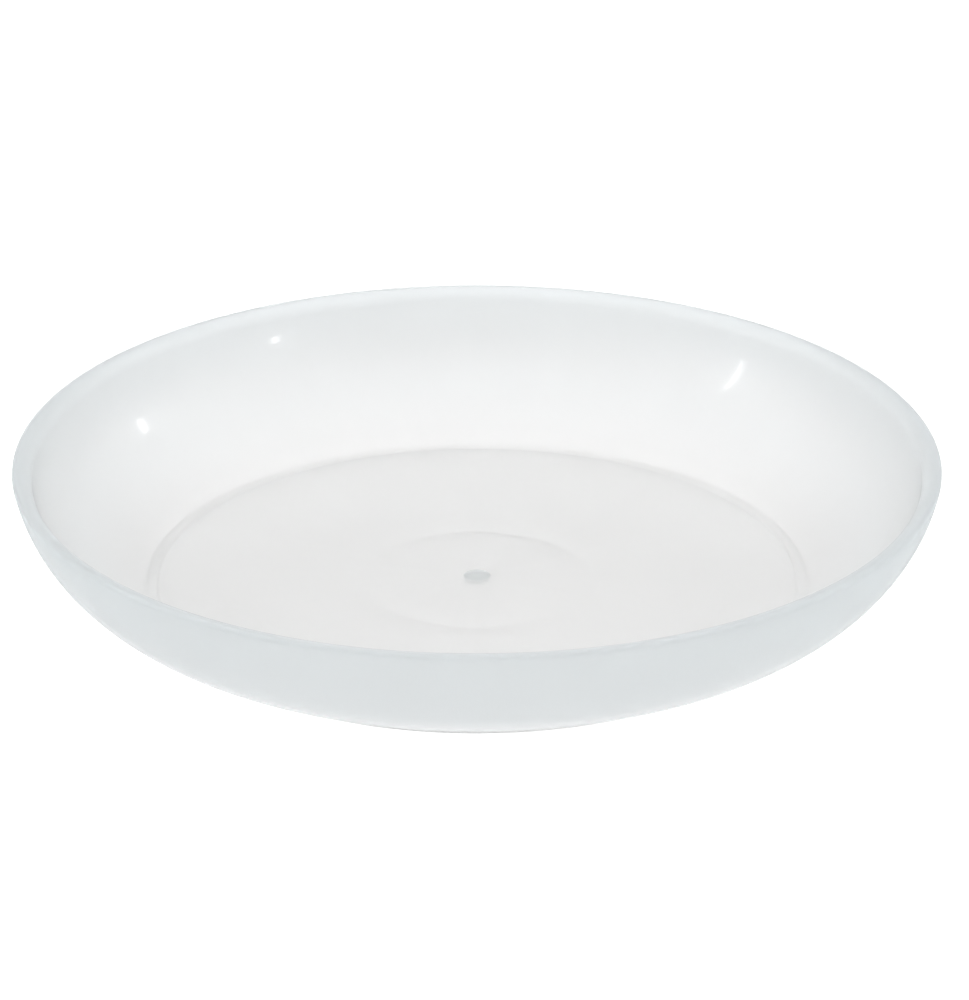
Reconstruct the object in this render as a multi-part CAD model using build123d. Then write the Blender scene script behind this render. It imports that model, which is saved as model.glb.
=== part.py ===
# Round plant saucer, one thin-walled plastic moulding. Millimetres, +Z up, origin under its centre.
import os
from math import cos, hypot, radians, sin, tan

from build123d import *

# Overall size
rim_diameter = 150.0
height = 23.25

# Wall: a cone that rises from the foot, then an arc each side that thickens it towards the rim
wall = 1.1  # on the cone
wall_slope = 21.0  # degrees above the horizontal, on the cone
outer_draft = 11.2  # degrees that the outside still leans outwards at the rim
inner_draft = 9.0
rim_outer_radius = 0.7  # the rim's two roundings meet at its top
rim_inner_radius = 2.5

# Floor, a small step below the wall's lower edge, and the foot ring under its edge
floor_thickness = 1.2
floor_step = 0.1
foot_diameter = 108.4
foot_width = 1.8
foot_height = 0.3  # how far the ring holds the floor off the table
foot_side = 1.1  # upright outer side of the ring
foot_edge_radius = 0.25

# Stiffening ring under the middle of the floor, rounded like a bead
ring_diameter = 37.0
ring_width = 2.0
ring_depth = 0.1

# Moulding gate: a stub underneath and a low button over it
gate_diameter = 4.5
gate_taper = 0.4  # the stub's radius lost from root to tip
gate_depth = 0.2
gate_button_height = 0.6

# Worked out from these
rounding_share = 0.4  # most of a side that the rounding of its edge may take
foot_round = min(foot_edge_radius, rounding_share * foot_side, rounding_share * foot_width)
floor_top = foot_height + floor_thickness
rim_top = (rim_diameter / 2 - rim_outer_radius, height)


def at_angle(centre, radius, slope):
    """The point of a circle where its lower right side rises at this slope, in degrees; a minus radius is opposite."""
    return (centre[0] + radius * sin(radians(slope)), centre[1] - radius * cos(radians(slope)))


def arc_between(centre, radius, start, end):
    """The shorter arc of a circle between two of its points."""
    middle = ((start[0] + end[0]) / 2 - centre[0], (start[1] + end[1]) / 2 - centre[1])
    reach = radius / hypot(*middle)
    return ThreePointArc(start, (centre[0] + middle[0] * reach, centre[1] + middle[1] * reach), end)


def wall_arc(start, end, end_slope):
    """The arc that leaves the cone through start and reaches end at this slope, and where it leaves it."""
    slope = tan(radians(wall_slope))
    rise = end[1] - start[1] - slope * (end[0] - start[0])
    turn = cos(radians(wall_slope)) - cos(radians(end_slope))
    reach = sin(radians(end_slope)) - sin(radians(wall_slope))
    radius = rise / (turn - slope * reach)
    centre = at_angle(end, -radius, end_slope)
    tangent = at_angle(centre, radius, wall_slope)
    return arc_between(centre, radius, tangent, end), tangent


def underside():
    """Gate stub, stiffening ring and foot ring, from the axis out to the foot's upright side."""
    gate, ring, foot = gate_diameter / 2, ring_diameter / 2, foot_diameter / 2
    ring_start, ring_end = (ring - ring_width / 2, foot_height), (ring + ring_width / 2, foot_height)
    stub = Polyline(
        (0, foot_height - gate_depth),
        (gate - gate_taper, foot_height - gate_depth),
        (gate, foot_height),
        ring_start,
    )
    bead = ThreePointArc(ring_start, (ring, foot_height - ring_depth), ring_end)
    step = Polyline(
        ring_end,
        (foot - foot_width, foot_height),
        (foot - foot_width, 0),
        (foot - foot_round, 0),
    )
    edge = arc_between((foot - foot_round, foot_round), foot_round, (foot - foot_round, 0), (foot, foot_round))
    return [stub, bead, step, edge, Line((foot, foot_round), (foot, foot_side))]


def wall_and_rim():
    """Up the outside, over the round rim, down the inner wall and its step, and along the floor to the gate."""
    foot = (foot_diameter / 2, foot_side)
    inner_foot = at_angle(foot, -wall, wall_slope)
    outer_centre = (rim_top[0], height - rim_outer_radius)
    inner_centre = (rim_top[0], height - rim_inner_radius)
    outer_end = at_angle(outer_centre, rim_outer_radius, 90.0 - outer_draft)
    inner_end = at_angle(inner_centre, -rim_inner_radius, 90.0 - inner_draft)
    outer_arc, outer_tangent = wall_arc(foot, outer_end, 90.0 - outer_draft)
    inner_arc, inner_tangent = wall_arc(inner_foot, inner_end, 90.0 - inner_draft)
    step_top = floor_top + floor_step
    step_radius = inner_tangent[0] - (inner_tangent[1] - step_top) / tan(radians(wall_slope))
    return [
        Line(foot, outer_tangent),
        outer_arc,
        arc_between(outer_centre, rim_outer_radius, outer_end, rim_top),
        arc_between(inner_centre, rim_inner_radius, rim_top, inner_end),
        inner_arc,
        Polyline(inner_tangent, (step_radius, step_top), (step_radius, floor_top), (gate_diameter / 2, floor_top)),
    ]


def gate_button():
    """Low dome over the gate, from the floor to the axis."""
    edge = gate_diameter / 2
    radius = (edge ** 2 + gate_button_height ** 2) / (2 * gate_button_height)
    centre = (0, floor_top + gate_button_height - radius)
    return arc_between(centre, radius, (edge, floor_top), (0, floor_top + gate_button_height))


def saucer():
    """The whole moulding: its half section, turned once round the axis."""
    axis = Line((0, floor_top + gate_button_height), (0, foot_height - gate_depth))
    section = make_face(Curve() + underside() + wall_and_rim() + [gate_button(), axis])
    return revolve(Plane.XZ * section, Axis.Z)


os.makedirs("parts", exist_ok=True)
export_step(saucer(), "parts/saucer.step")
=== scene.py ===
import math

import bpy
from mathutils import Matrix, Vector


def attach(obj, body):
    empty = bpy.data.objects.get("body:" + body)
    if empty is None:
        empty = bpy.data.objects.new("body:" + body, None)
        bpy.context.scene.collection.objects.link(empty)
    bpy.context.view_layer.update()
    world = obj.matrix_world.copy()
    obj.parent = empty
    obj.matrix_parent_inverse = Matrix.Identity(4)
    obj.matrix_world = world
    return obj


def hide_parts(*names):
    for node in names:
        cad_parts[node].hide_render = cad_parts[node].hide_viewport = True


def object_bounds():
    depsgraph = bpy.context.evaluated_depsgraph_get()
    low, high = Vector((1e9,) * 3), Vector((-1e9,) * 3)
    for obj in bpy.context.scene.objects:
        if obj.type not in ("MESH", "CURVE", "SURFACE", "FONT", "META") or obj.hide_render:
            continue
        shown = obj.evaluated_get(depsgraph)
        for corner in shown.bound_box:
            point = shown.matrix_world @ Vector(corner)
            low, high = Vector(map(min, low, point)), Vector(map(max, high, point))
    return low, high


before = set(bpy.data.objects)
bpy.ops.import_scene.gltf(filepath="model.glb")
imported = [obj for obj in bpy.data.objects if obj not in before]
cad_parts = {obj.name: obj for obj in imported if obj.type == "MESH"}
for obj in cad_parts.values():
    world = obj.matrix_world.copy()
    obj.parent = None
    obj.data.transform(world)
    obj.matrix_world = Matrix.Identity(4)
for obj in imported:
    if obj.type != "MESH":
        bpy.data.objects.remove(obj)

scene = bpy.context.scene
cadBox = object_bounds()
print("frame loaded, nodes:", sorted(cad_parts))

# Saucer: sizes of its half section, in metres
saucer = {
    "rimRadius": 0.075,
    "height": 0.02325,
    "wall": 0.0011,  # on the cone above the foot
    "wallSlope": math.radians(21),  # of that cone
    "outerDraft": math.radians(11.2),  # lean that is left at the rim
    "innerDraft": math.radians(9),
    "rimOuterRound": 0.0007,  # the rim's two roundings meet at its top
    "rimInnerRound": 0.0025,
    "floor": 0.0012,
    "floorStep": 0.0001,  # the floor lies this far below the wall's lower edge
    "stepRun": 0.0004,  # the step is a soft slope this wide
    "stepRound": 0.0003,
    "footRadius": 0.0542,
    "footWidth": 0.0018,
    "footHeight": 0.0003,
    "footSide": 0.0011,
    "footRound": 0.0002,
    "ringRadius": 0.0185,
    "ringWidth": 0.002,
    "ringDepth": 0.0001,
    "gateRadius": 0.00225,
    "gateTaper": 0.0004,
    "gateDepth": 0.0002,
    "buttonHeight": 0.0006,
    "gateGuard": 0.0001,  # a point this far off the button keeps the floor beside it flat
    "rimBlend": 12,  # points of the inner wall over which the rim's finish goes over to the inside's
    "longestFace": 0.004,
    "segments": 320,  # round the axis
    "weld": 1e-6,
}


def onCircle(centre, radius, slope):
    # where a circle's lower right side rises at this slope; a minus radius gives the opposite point
    return (centre[0] + radius * math.sin(slope), centre[1] - radius * math.cos(slope))


def arcPoints(centre, radius, start, end, count):
    angles = [start + (end - start) * i / count for i in range(count + 1)]
    return [(centre[0] + radius * math.cos(a), centre[1] + radius * math.sin(a)) for a in angles]


def roundedCorner(before, corner, after, radius, count=5, guard=0.00004):
    # an arc in place of a corner, with a point just off each end so that the flats beside it shade flat
    p, q, r = Vector(before), Vector(corner), Vector(after)
    back, ahead = (p - q).normalized(), (r - q).normalized()
    half = back.angle(ahead) / 2
    reach = min(radius / math.tan(half), 0.45 * (p - q).length, 0.45 * (r - q).length)
    size = reach * math.tan(half)
    centre = q + (back + ahead).normalized() * (size / math.sin(half))
    start, end = q + back * reach - centre, q + ahead * reach - centre
    turn = start.angle_signed(end)
    first = math.atan2(start.y, start.x)
    arc = arcPoints(centre, size, first, first - turn, count)
    return [tuple(q + back * (reach + guard)), *arc, tuple(q + ahead * (reach + guard))]


def roundedPath(corners, radius):
    # the line through these corners, with each one but the ends rounded
    path = [corners[0]]
    for before, corner, after in zip(corners, corners[1:], corners[2:]):
        path += roundedCorner(before, corner, after, radius)
    return path + [corners[-1]]


def rimCircle(s, side):
    # centre and radius of the rim's outer or inner rounding
    radius = s[side]
    return (s["rimRadius"] - s["rimOuterRound"], s["height"] - radius), radius


def wallCircle(s, start, end, endSlope):
    # centre and radius of the arc that leaves the cone through start and reaches end at this slope
    slope = math.tan(s["wallSlope"])
    turn = math.cos(s["wallSlope"]) - math.cos(endSlope)
    reach = math.sin(endSlope) - math.sin(s["wallSlope"])
    radius = (end[1] - start[1] - slope * (end[0] - start[0])) / (turn - slope * reach)
    return onCircle(end, -radius, endSlope), radius


def capPoints(start, end, height, count):
    # a shallow arc between two points at one level, standing this high over the line between them
    half = (end[0] - start[0]) / 2
    radius = (half ** 2 + height ** 2) / (2 * height)
    centre = (start[0] + half, start[1] + height - radius)
    lean = math.asin(half / radius)
    return arcPoints(centre, radius, math.pi / 2 + lean, math.pi / 2 - lean, count)


def filledIn(points, longest):
    # the same line with long runs divided
    path = [points[0]]
    for start, end in zip(points, points[1:]):
        parts = max(1, math.ceil(math.dist(start, end) / longest))
        path += [tuple(Vector(start).lerp(Vector(end), i / parts)) for i in range(1, parts + 1)]
    return path


def outsideSection(s):
    # from the axis underneath, over the gate stub, bead and foot, and up the wall to the rim's rounding
    foot, under = s["footRadius"], s["footHeight"]
    rimSlope = math.pi / 2 - s["outerDraft"]
    rimEnd = onCircle(*rimCircle(s, "rimOuterRound"), rimSlope)
    centre, outer = wallCircle(s, (foot, s["footSide"]), rimEnd, rimSlope)
    ringIn = (s["ringRadius"] - s["ringWidth"] / 2, under)
    ringOut = (s["ringRadius"] + s["ringWidth"] / 2, under)
    stub = [(0, under - s["gateDepth"]), (s["gateRadius"] - s["gateTaper"], under - s["gateDepth"]),
            (s["gateRadius"], under), ringIn]
    sole = [ringOut, (foot - s["footWidth"], under), (foot - s["footWidth"], 0), (foot, 0),
            (foot, s["footSide"]), onCircle(centre, outer, s["wallSlope"])]
    bead = [(r, 2 * under - z) for r, z in capPoints(ringIn, ringOut, s["ringDepth"], 12)]
    wall = arcPoints(centre, outer, s["wallSlope"] - math.pi / 2, -s["outerDraft"], 36)
    stub, sole = roundedPath(stub, s["footRound"]), roundedPath(sole, s["footRound"])
    return filledIn(stub[:-1] + bead + sole[1:-1] + wall, s["longestFace"])


def rimSection(s):
    # over the round rim, from the outside arc's end to the inside arc's
    outer = arcPoints(*rimCircle(s, "rimOuterRound"), -s["outerDraft"], math.pi / 2, 12)
    inner = arcPoints(*rimCircle(s, "rimInnerRound"), math.pi / 2, math.pi - s["innerDraft"], 24)
    return outer[1:] + inner[1:]


def insideSection(s):
    # down the inner wall and the step, and along the floor to the gate button at the axis
    rim, rimRound = rimCircle(s, "rimInnerRound")
    rimSlope, floorTop = math.pi / 2 - s["innerDraft"], s["footHeight"] + s["floor"]
    start = onCircle((s["footRadius"], s["footSide"]), -s["wall"], s["wallSlope"])
    centre, inner = wallCircle(s, start, onCircle(rim, -rimRound, rimSlope), rimSlope)
    wall = arcPoints(centre, inner, -s["innerDraft"], s["wallSlope"] - math.pi / 2, 36)[1:]
    bottom, stepTop = wall[-1], floorTop + s["floorStep"]
    stepRadius = bottom[0] - (bottom[1] - stepTop) / math.tan(s["wallSlope"])
    gate, besideGate = (s["gateRadius"], floorTop), (s["gateRadius"] + s["gateGuard"], floorTop)
    step = [bottom, (stepRadius, stepTop), (stepRadius - s["stepRun"], floorTop), gate]
    floor = roundedPath(step, s["stepRound"])[1:-1]
    button = capPoints((-gate[0], floorTop), gate, s["buttonHeight"], 24)[12:]
    return filledIn(wall + floor + [besideGate] + button[::-1], s["longestFace"])


def profileObject(name, points):
    # one open line of the half section, X outwards and Z up
    mesh = bpy.data.meshes.new(name)
    edges = [(i, i + 1) for i in range(len(points) - 1)]
    mesh.from_pydata([(r, 0, z) for r, z in points], edges, [])
    made = bpy.data.objects.new(name, mesh)
    scene.collection.objects.link(made)
    return made


def addNode(tree, kind, inputs=(), **settings):
    node = tree.nodes.new(kind)
    for key, value in settings.items():
        setattr(node, key, value)
    for key, value in dict(inputs).items():
        if isinstance(value, bpy.types.NodeSocket):
            tree.links.new(value, node.inputs[key])
        else:
            node.inputs[key].default_value = value
    return node


def colourMix(tree, share, first, second):
    # sockets 0, 6 and 7 are the factor and the two colours
    return addNode(tree, "ShaderNodeMix", {0: share, 6: first, 7: second}, data_type="RGBA").outputs[2]


def maths(tree, operation, first, second, **settings):
    return addNode(tree, "ShaderNodeMath", {0: first, 1: second}, operation=operation, **settings).outputs[0]


def vectors(tree, operation, *given):
    return addNode(tree, "ShaderNodeVectorMath", dict(enumerate(given)), operation=operation).outputs[0]


def scaled(tree, vector, share):
    return addNode(tree, "ShaderNodeVectorMath", {0: vector, "Scale": share}, operation="SCALE").outputs[0]


def mapped(tree, value, start, end, low=0, high=1, **settings):
    # start becomes low and end becomes high, held level beyond them
    inputs = {"Value": value, "From Min": start, "From Max": end, "To Min": low, "To Max": high}
    return addNode(tree, "ShaderNodeMapRange", inputs, **settings).outputs[0]


def wholes(tree, operation, first, second):
    return addNode(tree, "FunctionNodeIntegerMath", {0: first, 1: second}, operation=operation).outputs[0]


def turningTree(name):
    # lays a grid of turns by profile points, and puts each of its points where the turned profile has it
    tree = bpy.data.node_groups.new(name, "GeometryNodeTree")
    face = tree.interface
    sockets = {"Profile": "Object", "Profile Points": "Int", "Rim From": "Int", "Rim To": "Int",
               "Segments": "Int", "Weld Distance": "Float", "Material": "Material"}
    for label, kind in sockets.items():
        face.new_socket(label, in_out="INPUT", socket_type="NodeSocket" + kind)
    face.new_socket("Geometry", in_out="OUTPUT", socket_type="NodeSocketGeometry")
    given = addNode(tree, "NodeGroupInput").outputs
    profile = addNode(tree, "GeometryNodeObjectInfo", {"Object": given["Profile"]})
    points = given["Profile Points"]
    rows = wholes(tree, "ADD", given["Segments"], 1)
    grid = addNode(tree, "GeometryNodeMeshGrid", {"Vertices X": rows, "Vertices Y": points})
    index = addNode(tree, "GeometryNodeInputIndex").outputs[0]
    turn, along = wholes(tree, "DIVIDE_FLOOR", index, points), wholes(tree, "MODULO", index, points)
    angle = maths(tree, "MULTIPLY", maths(tree, "DIVIDE", turn, given["Segments"]), math.tau)
    place = addNode(tree, "GeometryNodeInputPosition").outputs[0]
    source = {"Geometry": profile.outputs["Geometry"], "Index": along}
    taken = addNode(tree, "GeometryNodeSampleIndex", source, data_type="FLOAT_VECTOR", domain="POINT")
    tree.links.new(place, taken.inputs["Value"])
    about = {"Vector": taken.outputs[0], "Axis": (0, 0, 1), "Angle": angle}
    turned = addNode(tree, "ShaderNodeVectorRotate", about, rotation_type="AXIS_ANGLE").outputs[0]
    placed = addNode(tree, "GeometryNodeSetPosition", {"Geometry": grid.outputs["Mesh"], "Position": turned})
    inside = mapped(tree, along, given["Rim From"], given["Rim To"])
    label = {"Geometry": placed.outputs[0], "Name": "insideFace"}
    marked = addNode(tree, "GeometryNodeStoreNamedAttribute", label, data_type="FLOAT", domain="POINT")
    tree.links.new(inside, marked.inputs["Value"])
    welded = addNode(tree, "GeometryNodeMergeByDistance",
                     {"Geometry": marked.outputs[0], "Distance": given["Weld Distance"]})
    smooth = addNode(tree, "GeometryNodeSetShadeSmooth", {"Geometry": welded.outputs[0]})
    whole = addNode(tree, "GeometryNodeRealizeInstances", {"Geometry": smooth.outputs[0]})
    dressed = {"Geometry": whole.outputs[0], "Material": given["Material"]}
    finished = addNode(tree, "GeometryNodeSetMaterial", dressed)
    result = addNode(tree, "NodeGroupOutput")
    tree.links.new(finished.outputs[0], result.inputs[0])
    return tree


def turnedSaucer(name, s, material):
    outside = outsideSection(s)
    rim = rimSection(s)
    section = outside + rim + insideSection(s)
    profile = profileObject(name + "Profile", section)
    tree = turningTree(name + "Turning")
    holder = bpy.data.objects.new(name, bpy.data.meshes.new(name))
    scene.collection.objects.link(holder)
    turning = holder.modifiers.new("turning", "NODES")
    turning.node_group = tree
    values = {"Profile": profile, "Profile Points": len(section), "Rim From": len(outside) - 1,
              "Rim To": len(outside) + len(rim) + s["rimBlend"], "Segments": s["segments"],
              "Weld Distance": s["weld"], "Material": material}
    for item in tree.interface.items_tree:
        if item.in_out == "INPUT":
            turning[item.identifier] = values[item.name]
    bpy.context.view_layer.update()
    graph = bpy.context.evaluated_depsgraph_get()
    holder.data = bpy.data.meshes.new_from_object(holder.evaluated_get(graph))
    holder.data.name = name
    holder.modifiers.clear()
    bpy.data.objects.remove(profile)
    return holder


# Milky plastic: glossy and neutral inside, satin and cooler outside, with painted shade in the outer wall's
# darker colour
milky = {
    # the plastic's cool cast, made darker than inside as painted shade on the outer wall
    "wallTintAndShade": (0.815, 0.852, 0.866, 1),
    "soleColour": (0.895, 0.9, 0.9, 1),
    "insideColour": (0.885, 0.881, 0.876, 1),
    "transmission": 0.64,
    "ior": 1.49,
    "depthColour": (0.25, 0.7, 0.78, 1),  # what is left of white in the thick places
    "depthDensity": 6,  # per metre
    "wallRoughness": 0.5,
    "wallFrom": 0.0746,  # radius, as for the other places
    "footRoughness": 0.31,  # low on the wall
    "footTo": 0.066,
    "soleRoughness": 0.55,
    "soleTo": 0.0545,
    "soleEdge": 0.0005,
    "insideRoughness": 0.32,
    "insideFrom": 0.6,  # of the way from the rim's outer edge to the inner wall
    "unevenness": 0.1,  # of the roughness, along the streaks
    "gloss": 0.5,  # of the clear skin inside
    "footGloss": 0.32,  # of the clear skin low on the wall
    "glossRoughness": 0.09,
    "satinGrain": 2600,  # per metre
    "satinBump": 0.12,
    "satinDepth": 0.0001,
    "insideGrain": 0.05,  # share of the grain that is left inside
    "flowStreaks": 7,  # noise cells round the axis
    "flowStrength": 0.012,
    "gateRadius": 0.0023,
    "gateEdge": 0.0003,
    "gateShadeOnTop": 0.3,  # share of the painted gate shade on the button
    # a dark colour painted as shade on the gate stub
    "gateShadeColour": (0.47, 0.52, 0.53, 1),
}


def milkyPlastic(m):
    material = bpy.data.materials.new("milkyPlastic")
    material.use_nodes = True
    tree = material.node_tree
    shader = tree.nodes["Principled BSDF"]
    shader.inputs["Transmission Weight"].default_value = m["transmission"]
    shader.inputs["IOR"].default_value = m["ior"]
    shader.inputs["Coat Roughness"].default_value = m["glossRoughness"]
    depth = {"Color": m["depthColour"], "Density": m["depthDensity"]}
    depth = addNode(tree, "ShaderNodeVolumeAbsorption", depth).outputs[0]
    tree.links.new(depth, tree.nodes["Material Output"].inputs["Volume"])
    place = addNode(tree, "ShaderNodeTexCoord").outputs["Object"]
    inside = addNode(tree, "ShaderNodeAttribute", attribute_name="insideFace").outputs["Fac"]
    # streaks that run out from the gate, as the plastic flowed
    flat = vectors(tree, "MULTIPLY", place, (1, 1, 0))
    reach = addNode(tree, "ShaderNodeVectorMath", {0: flat}, operation="LENGTH").outputs["Value"]
    rise = addNode(tree, "ShaderNodeCombineXYZ", {"Z": maths(tree, "MULTIPLY", reach, 3)}).outputs[0]
    along = vectors(tree, "ADD", vectors(tree, "NORMALIZE", flat), rise)
    flow = {"Vector": along, "Scale": m["flowStreaks"], "Detail": 3}
    streaks = addNode(tree, "ShaderNodeTexNoise", flow).outputs[0]
    shade = mapped(tree, streaks, 0.3, 0.7, 1 - m["flowStrength"], 1)
    # colour by place: sole, wall with painted shade, inside, and painted shade at the gate
    onWall = mapped(tree, reach, m["soleTo"], m["footTo"])
    outside = colourMix(tree, onWall, m["soleColour"], m["wallTintAndShade"])
    colour = colourMix(tree, inside, outside, m["insideColour"])
    # painted shade: the gate stub is darkened, and the button above it only in part
    atGateShade = mapped(tree, reach, m["gateRadius"], m["gateRadius"] - m["gateEdge"])
    gateShadeShare = maths(tree, "MULTIPLY", atGateShade, mapped(tree, inside, 0, 1, 1, m["gateShadeOnTop"]))
    colour = colourMix(tree, gateShadeShare, colour, m["gateShadeColour"])
    tree.links.new(scaled(tree, colour, shade), shader.inputs["Base Color"])
    # roughness by place, a little uneven along the streaks
    soleFrom = m["soleTo"] - m["soleEdge"]
    sole = mapped(tree, reach, soleFrom, m["soleTo"], m["soleRoughness"], m["footRoughness"])
    beyond = mapped(tree, reach, m["footTo"], m["wallFrom"], sole, m["wallRoughness"])
    rough = mapped(tree, inside, m["insideFrom"], 1, beyond, m["insideRoughness"])
    uneven = mapped(tree, streaks, 0, 1, 1 - m["unevenness"], 1 + m["unevenness"])
    tree.links.new(maths(tree, "MULTIPLY", rough, uneven), shader.inputs["Roughness"])
    # clear skin inside and low on the wall
    lowWall = mapped(tree, reach, m["footTo"], m["wallFrom"], m["footGloss"], 0)
    skin = mapped(tree, inside, m["insideFrom"], 1, lowWall, m["gloss"])
    tree.links.new(skin, shader.inputs["Coat Weight"])
    # satin grain outside, nearly none inside
    grain = {"Vector": place, "Scale": m["satinGrain"], "Detail": 2}
    grain = addNode(tree, "ShaderNodeTexNoise", grain).outputs[0]
    height = maths(tree, "MULTIPLY", grain, mapped(tree, inside, 0, 1, 1, m["insideGrain"]))
    bump = {"Height": height, "Strength": m["satinBump"], "Distance": m["satinDepth"]}
    bump = addNode(tree, "ShaderNodeBump", bump)
    tree.links.new(bump.outputs[0], shader.inputs["Normal"])
    return material


piece = turnedSaucer("saucerShell", saucer, milkyPlastic(milky))
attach(piece, "root")
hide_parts("saucer")
print("saucer turned, faces:", len(piece.data.polygons))

# Stage: a white table that glows
stage = {
    "size": 6.0,
    "colour": (0.18, 0.18, 0.18, 1),
    "glow": 1.0,
    "gap": 0.00005,  # under the foot
}


def makeFloor(s):
    half = s["size"] / 2
    mesh = bpy.data.meshes.new("floor")
    corners = [(-half, -half, 0), (half, -half, 0), (half, half, 0), (-half, half, 0)]
    mesh.from_pydata(corners, [], [(0, 1, 2, 3)])
    made = bpy.data.objects.new("floor", mesh)
    scene.collection.objects.link(made)
    material = bpy.data.materials.new("paleFloor")
    material.use_nodes = True
    shader = material.node_tree.nodes["Principled BSDF"]
    shader.inputs["Base Color"].default_value = s["colour"]
    shader.inputs["Roughness"].default_value = 0.9
    shader.inputs["Specular IOR Level"].default_value = 0.1
    shader.inputs["Emission Color"].default_value = (1, 1, 1, 1)
    shader.inputs["Emission Strength"].default_value = s["glow"]
    mesh.materials.append(material)
    made.location.z = cadBox[0][2] - s["gap"]


# Room: the light from above, and from each side at middle height and low down
room = {
    "above": (1.56, 1.55, 1.55),
    "front": {"middle": (0.4, 0.39, 0.38), "low": (1.1, 1.08, 1.06)},
    "back": {"middle": (0.28, 0.28, 0.28), "low": (1.5, 1.51, 1.54)},
    "left": {"middle": (1.5, 1.48, 1.48), "low": (0.66, 0.65, 0.67)},
    "right": {"middle": (1.35, 1.35, 1.35), "low": (0.62, 0.63, 0.66)},
}
facing = {"front": (0, -1, 0), "back": (0, 1, 0), "left": (-1, 0, 0), "right": (1, 0, 0)}


def makeRoom(r):
    world = bpy.data.worlds.new("room")
    world.use_nodes = True
    tree = world.node_tree
    way = addNode(tree, "ShaderNodeTexCoord").outputs["Generated"]
    rise = addNode(tree, "ShaderNodeSeparateXYZ", {0: way}).outputs["Z"]
    level = vectors(tree, "NORMALIZE", vectors(tree, "MULTIPLY", way, (1, 1, 0)))
    above = mapped(tree, rise, 0.35, 0.95, interpolation_type="SMOOTHSTEP")
    low = mapped(tree, rise, 0.5, 0, interpolation_type="SMOOTHSTEP")
    middle = maths(tree, "SUBTRACT", 1, maths(tree, "ADD", above, low), use_clamp=True)
    light = scaled(tree, r["above"], above)
    for side, direction in facing.items():
        lean = addNode(tree, "ShaderNodeVectorMath", {0: level, 1: direction}, operation="DOT_PRODUCT")
        lean = maths(tree, "MAXIMUM", lean.outputs["Value"], 0)
        share = maths(tree, "MULTIPLY", lean, lean)
        for height, band in (("middle", middle), ("low", low)):
            lit = scaled(tree, r[side][height], maths(tree, "MULTIPLY", share, band))
            light = vectors(tree, "ADD", light, lit)
    tree.links.new(light, tree.nodes["Background"].inputs["Color"])
    scene.world = world


makeFloor(stage)
makeRoom(room)

# Lamps: narrow strips on a sphere round the saucer, each between two directions in degrees,
# azimuth from +X and elevation
lamps = {
    "leftStrip": {"ends": ((-166.4, 10), (-170.6, 33.6)), "width": 0.02, "radiance": 24},
    "rightStrip": {"ends": ((19.2, 19.6), (22.5, 27.1)), "width": 0.03, "radiance": 22},
    "frontSpot": {"ends": ((-34, 7.4), (-33.2, 13)), "width": 0.04, "radiance": 25},
}
lampDistance = 1.2


def onSphere(azimuth, elevation):
    turn, rise = math.radians(azimuth), math.radians(elevation)
    flat = math.cos(rise)
    return lampDistance * Vector((math.cos(turn) * flat, math.sin(turn) * flat, math.sin(rise)))


def addLamp(name, values):
    low, high = [onSphere(*end) for end in values["ends"]]
    light = bpy.data.lights.new(name, "AREA")
    light.shape = "RECTANGLE"
    light.size, light.size_y = values["width"], (high - low).length
    light.energy = values["radiance"] * math.pi * light.size * light.size_y
    made = bpy.data.objects.new(name, light)
    middle, along = (low + high) / 2, (high - low).normalized()
    away = middle.normalized()
    made.matrix_world = Matrix((along.cross(away), along, away)).transposed().to_4x4()
    made.location = middle
    scene.collection.objects.link(made)


for lampName, lampValues in lamps.items():
    addLamp(lampName, lampValues)
print("stage and lamps set")

# Camera
view = {
    "back": 0.68762,  # in front of the saucer's axis
    "up": 0.32274,
    "pitch": 0.42077,  # below the horizontal
    "yaw": -0.00177,
    "focalPixels": 4633,
    "framePixels": 1000,  # the frame's longer side
}
lens = bpy.data.cameras.new("camera")
lens.sensor_width = 36
lens.lens = lens.sensor_width * view["focalPixels"] / view["framePixels"]
camera = bpy.data.objects.new("camera", lens)
camera.location = (0, -view["back"], view["up"])
camera.rotation_euler = (math.pi / 2 - view["pitch"], 0, view["yaw"])
scene.collection.objects.link(camera)
scene.camera = camera
scene.view_settings.view_transform = "Standard"
print("camera set")
